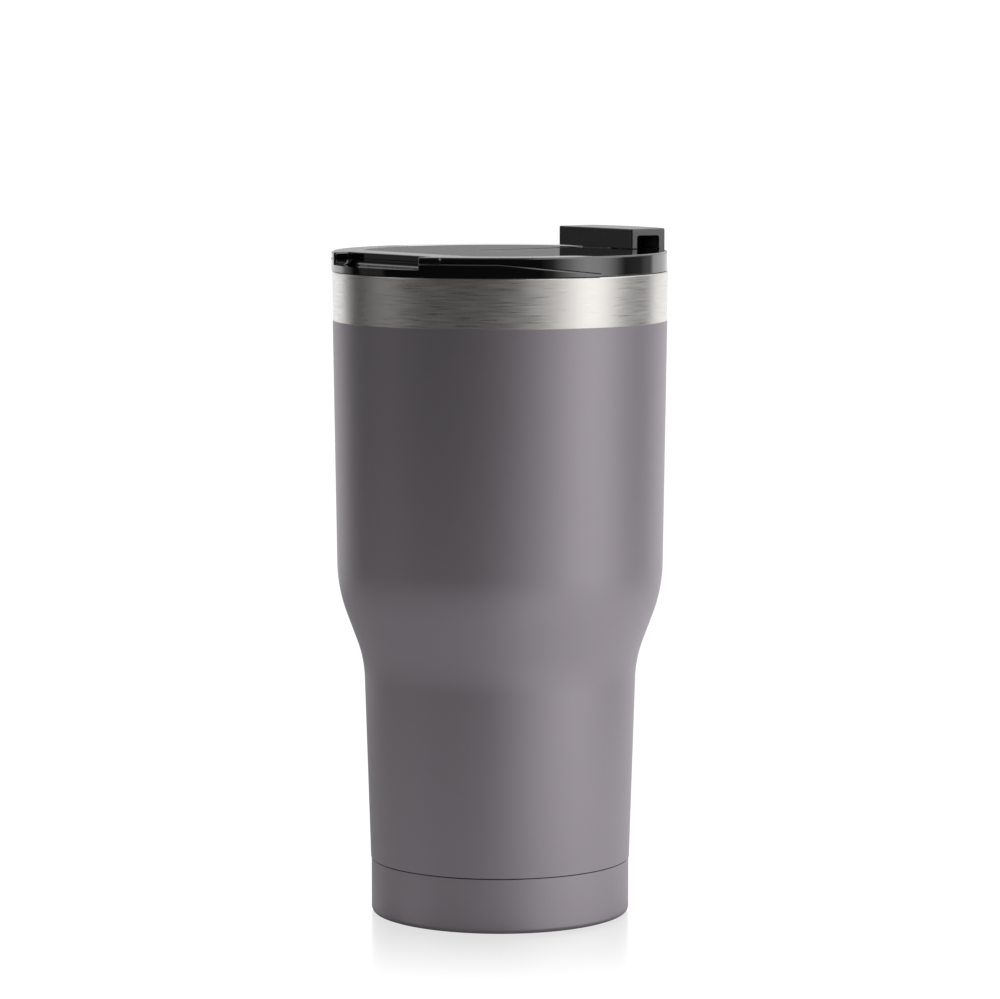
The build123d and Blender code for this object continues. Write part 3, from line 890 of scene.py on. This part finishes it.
def fade(tree, value, start, end, low=0.0, high=1.0):
    """Goes from low to high as a plain value passes from start to end."""
    node = add_node(tree, "ShaderNodeMapRange")
    for socket, number in (("From Min", start), ("From Max", end), ("To Min", low), ("To Max", high)):
        node.inputs[socket].default_value = number
    tree.links.new(value, node.inputs["Value"])
    return node.outputs["Result"]


def blend(tree, factor, first, second):
    """Mixes two plain values."""
    node = add_node(tree, "ShaderNodeMix", data_type="FLOAT")
    tree.links.new(factor, node.inputs["Factor"])
    for index, value in ((2, first), (3, second)):
        if isinstance(value, bpy.types.NodeSocket):
            tree.links.new(value, node.inputs[index])
        else:
            node.inputs[index].default_value = value
    return node.outputs[0]


def powder_coat():
    """Warm grey powder coat: a fine even grain with a satin sheen."""
    material, tree, shader = new_material("powder_coat", Base_Color=(0.335, 0.307, 0.337, 1), Metallic=0.85)
    grain = noise(tree, 2600.0, 3.0)
    tree.links.new(spread(tree, grain, 0.41, 0.48), shader.inputs["Roughness"])
    add_bump(tree, shader, grain, 0.02, 0.6)
    return material


def brushed_steel(paint_and_shade_heights=None):
    """Bare steel turned on a lathe: fine lines round the axis.  Between the heights given in its argument,
    paint reaches into the seam's groove, darkened near black as painted shade.
    """
    material, tree, shader = new_material(
        "brushed_steel", Base_Color=STEEL, Metallic=1.0, Anisotropic=0.5,
        Anisotropic_Rotation=0.25)
    tangent = add_node(tree, "ShaderNodeTangent", direction_type="RADIAL", axis="Z")
    tree.links.new(tangent.outputs["Tangent"], shader.inputs["Tangent"])
    x, y, z, radius = place_parts(tree)
    turn = combine(tree, "ARCTAN2", y, x)
    around = add_node(tree, "ShaderNodeMath", operation="MULTIPLY")
    around.inputs[1].default_value = STREAK_TURN
    tree.links.new(turn, around.inputs[0])
    lines = add_node(tree, "ShaderNodeCombineXYZ")
    tree.links.new(around.outputs["Value"], lines.inputs["X"])
    tree.links.new(z, lines.inputs["Y"])
    streaks = noise(tree, 2600.0, 4.0, lines.outputs["Vector"])
    tree.links.new(spread(tree, streaks, 0.26, 0.40), shader.inputs["Roughness"])
    add_bump(tree, shader, streaks, 0.016, 0.5)
    if paint_and_shade_heights:
        low, high = paint_and_shade_heights
        above = step_at(tree, z, low - PAINT_AND_SHADE_EDGE, low)
        below = step_at(tree, z, high, high + PAINT_AND_SHADE_EDGE, 1.0, 0.0)
        between = combine(tree, "MULTIPLY", above, below)
        paint_and_shade_r = BASE_R - PAINT_AND_SHADE_DEPTH
        paint_and_shade_mask = combine(tree, "MULTIPLY", between, step_at(tree, radius, paint_and_shade_r, paint_and_shade_r + PAINT_AND_SHADE_EDGE))
        # the groove's tint: paint, darkened near black as painted shade in the groove
        tint = add_node(tree, "ShaderNodeMix", data_type="RGBA", A=STEEL, B=GROOVE_PAINT_AND_SHADE)
        tree.links.new(paint_and_shade_mask, tint.inputs["Factor"])
        tree.links.new(tint.outputs["Result"], shader.inputs["Base Color"])
    return material


def plain_steel():
    """Drawn or ground steel with a faint grain."""
    material, tree, shader = new_material("plain_steel", Base_Color=(0.72, 0.70, 0.68, 1), Metallic=1.0)
    grain = noise(tree, 900.0, 4.0)
    tree.links.new(spread(tree, grain, 0.27, 0.38), shader.inputs["Roughness"])
    add_bump(tree, shader, grain, 0.005, 0.4)
    return material


def gloss_black():
    """Black plastic, mirror polished but for a softer ring round the flat top; the face is barely uneven."""
    material, tree, shader = new_material("gloss_black", Base_Color=(0.004, 0.004, 0.0045, 1), IOR=2.1)
    x, _, z, radius = place_parts(tree)
    inner_r = LID_R - SHEEN_RING_W
    inner_x = NOTCH_X + SHEEN_RING_W
    ring = step_at(tree, radius, inner_r - 0.1, inner_r + 0.1)
    beside_notch = step_at(tree, x, inner_x + 0.1, inner_x - 0.1)
    on_top = step_at(tree, z, RIM_Z - 0.12, RIM_Z - 0.04)
    soft = combine(tree, "MULTIPLY", combine(tree, "MAXIMUM", ring, beside_notch), on_top)
    soft = combine(tree, "MULTIPLY", soft, step_at(tree, x, *SHEEN_FADES))
    polish = spread(tree, noise(tree, 1500.0, 3.0), 0.03, 0.05)
    tree.links.new(blend(tree, soft, polish, SHEEN_ROUGHNESS), shader.inputs["Roughness"])
    swell = add_bump(tree, shader, noise(tree, 60.0, 2.0), 0.01, 0.2)
    fall = combine(tree, "MINIMUM", step_at(tree, radius, LID_R, inner_r), step_at(tree, x, NOTCH_X, inner_x))
    slope = add_bump(tree, shader, fall, SHEEN_RING_FALL)
    tree.links.new(on_top, slope.inputs["Strength"])
    tree.links.new(swell.outputs["Normal"], slope.inputs["Normal"])
    return material


def satin_black():
    """Black plastic with a fine satin texture, polished where the arm lies flush with the lid's top."""
    material, tree, shader = new_material("satin_black", Base_Color=(0.009, 0.009, 0.0095, 1), IOR=1.9)
    _, _, z, _ = place_parts(tree)
    start, end = BAR_LOW_Z - 0.15, BAR_LOW_Z - 0.05
    fine = noise(tree, 3500.0, 3.0)
    texture = spread(tree, fine, 0.26, 0.33)
    tree.links.new(step_at(tree, z, start, end, 0.04, texture), shader.inputs["Roughness"])
    bump = add_bump(tree, shader, fine, 0.012)
    tree.links.new(step_at(tree, z, start, end, 0.0, 0.5), bump.inputs["Strength"])
    return material


def silicone():
    """Soft grey-black silicone."""
    material, tree, shader = new_material("silicone", Base_Color=(0.045, 0.045, 0.047, 1), IOR=1.41)
    fine = noise(tree, 2000.0, 3.0)
    tree.links.new(spread(tree, fine, 0.50, 0.62), shader.inputs["Roughness"])
    add_bump(tree, shader, fine, 0.01, 0.4)
    return material


def solder():
    """Dull cast bead."""
    material, tree, shader = new_material("solder", Base_Color=(0.55, 0.54, 0.52, 1), Metallic=1.0)
    lumps = noise(tree, 1200.0, 4.0)
    tree.links.new(spread(tree, lumps, 0.40, 0.60), shader.inputs["Roughness"])
    add_bump(tree, shader, lumps, 0.05, 0.6)
    return material


def getter_alloy():
    """Pressed dark metal powder."""
    material, tree, shader = new_material("getter_alloy", Base_Color=(0.10, 0.10, 0.105, 1), Metallic=0.7)
    grains = noise(tree, 3000.0, 4.0)
    tree.links.new(spread(tree, grains, 0.55, 0.75), shader.inputs["Roughness"])
    add_bump(tree, shader, grains, 0.04, 0.7)
    return material


# ---------------------------------------------------------------- the object

paint = powder_coat()
brushed = brushed_steel()
drawn = plain_steel()
gloss = gloss_black()
satin = satin_black()
rubber = silicone()

piece(steel_shell(), "tumbler", "stainless_steel", brushed, "outer_shell")
piece(steel_liner(), "tumbler", "stainless_steel", brushed, "inner_liner")
seam_steel = brushed_steel((CUP_TOP_Z - PAINT_AND_SHADE_LAP, SHELL_LOW_Z + PAINT_AND_SHADE_LAP))
piece(steel_cup(), "tumbler", "stainless_steel", seam_steel, "base_cup")
piece(bottom_disc(), "tumbler", "stainless_steel", brushed, "bottom_plate")
piece(body_paint(), "tumbler", "powder_coat", paint, "body_coat")
piece(base_paint(), "tumbler", "powder_coat", paint, "base_coat")
piece(gloss_cover(), "lid", "lid_gloss_black", gloss, "lid_cover")
piece(lid_plug(), "lid", "lid_gloss_black", gloss, "lid_base")
piece(grip_band(), "lid", "lid_gloss_black", gloss, "lid_base")
piece(gasket(), "lid", "silicone", rubber, "lid_gasket")
piece(flip_lever(), "lever", "lever_satin_black", satin, "flip_lever")
piece(stopper(), "lever", "silicone", rubber, "spout_stopper")
piece(vent_button(), "lever", "silicone", rubber, "vent_plug")

for node, slot, material in (
    ("hinge_pin", "pin_steel", drawn),
    ("getter_clip", "stainless_steel", drawn),
    ("vacuum_seal", "solder", solder()),
    ("getter", "getter_alloy", getter_alloy()),
):
    kept = frame["nodes"][node]
    kept.data.materials.clear()
    kept.data.materials.append(material)


# ---------------------------------------------------------------- surroundings

VIEW_AZIMUTH = radians(-37.5)
VIEW_PITCH = radians(5.835)
VIEW_REACH = 1.2806          # level distance from the axis
VIEW_RISE = 0.05514          # above the lid's rim
SENSOR = 36.0
LENS = 152.3

FLOOR_R = 0.6                # metres
CLEAN_WHITE = 1.06           # just past white, so that floor and backdrop meet without a line
FLOOR_LIGHT = (0.42, 0.95)   # painted light that the floor's glow throws onto the object, to the camera's left and right
FLOOR_TURN = (-30.0, 110.0)  # millimetres to the right of the axis over which it gets brighter
FOOT_SHADE = 0.12            # share of it right under the object's foot, a painted shadow in the floor's glow
FOOT_FADE = (-3.0, 9.0)      # millimetres from the foot's edge over which that shade ends
SHINE_NEAR = 45.0            # the floor's polish fades out between these radii, in millimetres
SHINE_FAR = 115.0


def make_floor():
    """Floor that glows: plain white to the camera, elsewhere painted light brighter to the right with a
    painted shadow under the foot; a faint polish round the object.
    """
    rim = [(FLOOR_R * cos(2 * pi * i / FINE), FLOOR_R * sin(2 * pi * i / FINE), 0) for i in range(FINE)]
    mesh = bpy.data.meshes.new("floor")
    mesh.from_pydata(rim, [], [tuple(range(FINE))])
    floor = bpy.data.objects.new("floor", mesh)
    bpy.context.collection.objects.link(floor)
    material = bpy.data.materials.new("floor")
    material.use_nodes = True
    tree = material.node_tree
    tree.nodes.remove(tree.nodes["Principled BSDF"])
    path = add_node(tree, "ShaderNodeLightPath")
    place = add_node(tree, "ShaderNodeTexCoord").outputs["Object"]
    across = add_node(tree, "ShaderNodeVectorMath", operation="DOT_PRODUCT")
    across.inputs[1].default_value = (cos(VIEW_AZIMUTH), sin(VIEW_AZIMUTH), 0)
    tree.links.new(place, across.inputs[0])
    # painted light: the floor's glow grows brighter to the camera's right and dims to a painted shadow right
    # under the foot
    thrown = step_at(tree, across.outputs["Value"], *FLOOR_TURN, *FLOOR_LIGHT)
    _, _, _, radius = place_parts(tree)
    fade_from, fade_to = [BASE_R + reach for reach in FOOT_FADE]
    thrown = combine(tree, "MULTIPLY", thrown, step_at(tree, radius, fade_from, fade_to, FOOT_SHADE, 1.0))
    glow = add_node(tree, "ShaderNodeEmission", Color=(1, 1, 1, 1))
    tree.links.new(blend(tree, path.outputs["Is Camera Ray"], thrown, CLEAN_WHITE), glow.inputs["Strength"])
    polish = add_node(tree, "ShaderNodeBsdfGlossy", Color=(1, 1, 1, 1), Roughness=0.2)
    nearness = step_at(tree, radius, SHINE_NEAR, SHINE_FAR, 1.0, 0.0)
    share = combine(tree, "MULTIPLY", add_node(tree, "ShaderNodeFresnel", IOR=1.45).outputs["Fac"], nearness)
    mix = add_node(tree, "ShaderNodeMixShader")
    tree.links.new(share, mix.inputs["Fac"])
    tree.links.new(glow.outputs["Emission"], mix.inputs[1])
    tree.links.new(polish.outputs["BSDF"], mix.inputs[2])
    tree.links.new(mix.outputs["Shader"], tree.nodes["Material Output"].inputs["Surface"])
    mesh.materials.append(material)


# How bright the studio is round the object: degrees from the camera's side, turning to its right.
# LEVEL is what stands at the height of the lid and below, RAISED what hangs above it.
LEVEL = (
    (-180, 1.2), (-138, 1.2), (-131, 0.4), (-118, 0.01), (-112, 0.01), (-108, 0.1), (-88, 0.1), (-84, 0.01),
    (28, 0.01), (36, 0.1), (42, 0.45), (48, 0.8), (54, 1.2), (62, 1.5), (73, 1.35), (80, 1.0), (86, 0.6),
    (90, 0.3), (95, 0.07), (112, 0.1), (118, 0.25), (126, 0.3), (131, 1.2), (180, 1.2),
)
RAISED = (
    (-180, 1.1), (-134, 0.9), (-120, 0.08), (-104, 0.04), (-94, 0.6), (-78, 0.9), (-64, 0.2), (-48, 0.08),
    (6, 0.1), (19, 0.2), (27, 1.3), (60, 1.6), (90, 1.65), (104, 1.3), (114, 0.85), (124, 0.85), (134, 1.1),
    (180, 1.1),
)
RAISED_FROM = (0.5, 5.0)     # degrees of elevation over which LEVEL gives way to RAISED
CEILING = 0.45               # light overhead
CEILING_FROM = (50.0, 65.0)  # degrees of elevation
BAND_LIGHT = 0.29            # the grey band low on the far side, which the lid's top mirrors
BAND_EDGES = (0.4, 1.1, 3.8, 4.6)   # degrees of elevation over which the band comes and goes
BAND_START = 128             # degrees to either side from which the grey band is seen
BAND_SOFT = 3                # degrees over which it starts, to either side of that


def studio_ring(tree, turn, levels, brightest):
    """Brightness round the object, as a share of the brightest, from a table of degrees and levels."""
    ramp = add_node(tree, "ShaderNodeValToRGB")
    stops = ramp.color_ramp.elements
    while len(stops) < len(levels):
        stops.new(0.5)
    for stop, (angle, level) in zip(stops, levels):
        stop.position = (angle + 180) / 360
        stop.color = (level / brightest,) * 3 + (1,)
    tree.links.new(turn, ramp.inputs["Fac"])
    return ramp.outputs["Color"]


def make_world():
    """Soft studio: a wide light to the camera's right, a dark room behind it and a white backdrop beyond."""
    world = bpy.data.worlds.new("studio")
    world.use_nodes = True
    bpy.context.scene.world = world
    tree = world.node_tree
    direction = add_node(tree, "ShaderNodeTexCoord").outputs["Generated"]
    turn = add_node(tree, "ShaderNodeVectorRotate", rotation_type="Z_AXIS")
    turn.inputs["Angle"].default_value = pi / 2 - VIEW_AZIMUTH
    tree.links.new(direction, turn.inputs["Vector"])
    split = add_node(tree, "ShaderNodeSeparateXYZ")
    tree.links.new(turn.outputs["Vector"], split.inputs["Vector"])
    rise = split.outputs["Z"]
    around = combine(tree, "ARCTAN2", split.outputs["Y"], split.outputs["X"])
    share = fade(tree, around, -pi, pi)
    brightest = max(level for _, level in LEVEL + RAISED)
    level = studio_ring(tree, share, LEVEL, brightest)
    raised = studio_ring(tree, share, RAISED, brightest)

    # the grey band, only on the far side
    distance = add_node(tree, "ShaderNodeMath", operation="ABSOLUTE")
    tree.links.new(around, distance.inputs[0])
    near_end, far_end = radians(BAND_START - BAND_SOFT), radians(BAND_START + BAND_SOFT)
    far = fade(tree, distance.outputs["Value"], near_end, far_end)
    low_from, low_to, high_from, high_to = [sin(radians(angle)) for angle in BAND_EDGES]
    band_foot = fade(tree, rise, low_from, low_to)
    band = combine(tree, "MULTIPLY", band_foot, fade(tree, rise, high_from, high_to, 1.0, 0.0))

    start, end = [sin(radians(angle)) for angle in RAISED_FROM]
    light = blend(tree, fade(tree, rise, start, end), level, raised)
    light = blend(tree, combine(tree, "MULTIPLY", band, far), light, BAND_LIGHT / brightest)
    start, end = [sin(radians(angle)) for angle in CEILING_FROM]
    light = blend(tree, fade(tree, rise, start, end), light, CEILING / brightest)
    lit = tree.nodes["Background"]
    lit.inputs["Strength"].default_value = brightest
    tree.links.new(light, lit.inputs["Color"])
    seen = add_node(tree, "ShaderNodeBackground", Color=(1, 1, 1, 1), Strength=CLEAN_WHITE)
    path = add_node(tree, "ShaderNodeLightPath")
    mix = add_node(tree, "ShaderNodeMixShader")
    tree.links.new(path.outputs["Is Camera Ray"], mix.inputs["Fac"])
    tree.links.new(lit.outputs["Background"], mix.inputs[1])
    tree.links.new(seen.outputs["Background"], mix.inputs[2])
    tree.links.new(mix.outputs["Shader"], tree.nodes["World Output"].inputs["Surface"])


def make_camera():
    """Camera a little above the lid, looking slightly down."""
    data = bpy.data.cameras.new("camera")
    data.sensor_width = SENSOR
    data.lens = LENS
    camera = bpy.data.objects.new("camera", data)
    bpy.context.collection.objects.link(camera)
    camera.location = (
        VIEW_REACH * sin(VIEW_AZIMUTH),
        -VIEW_REACH * cos(VIEW_AZIMUTH),
        RIM_Z * MM + VIEW_RISE,
    )
    camera.rotation_euler = (pi / 2 - VIEW_PITCH, 0, VIEW_AZIMUTH)
    bpy.context.scene.camera = camera


make_floor()
make_world()
make_camera()
bpy.context.scene.view_settings.view_transform = "Standard"
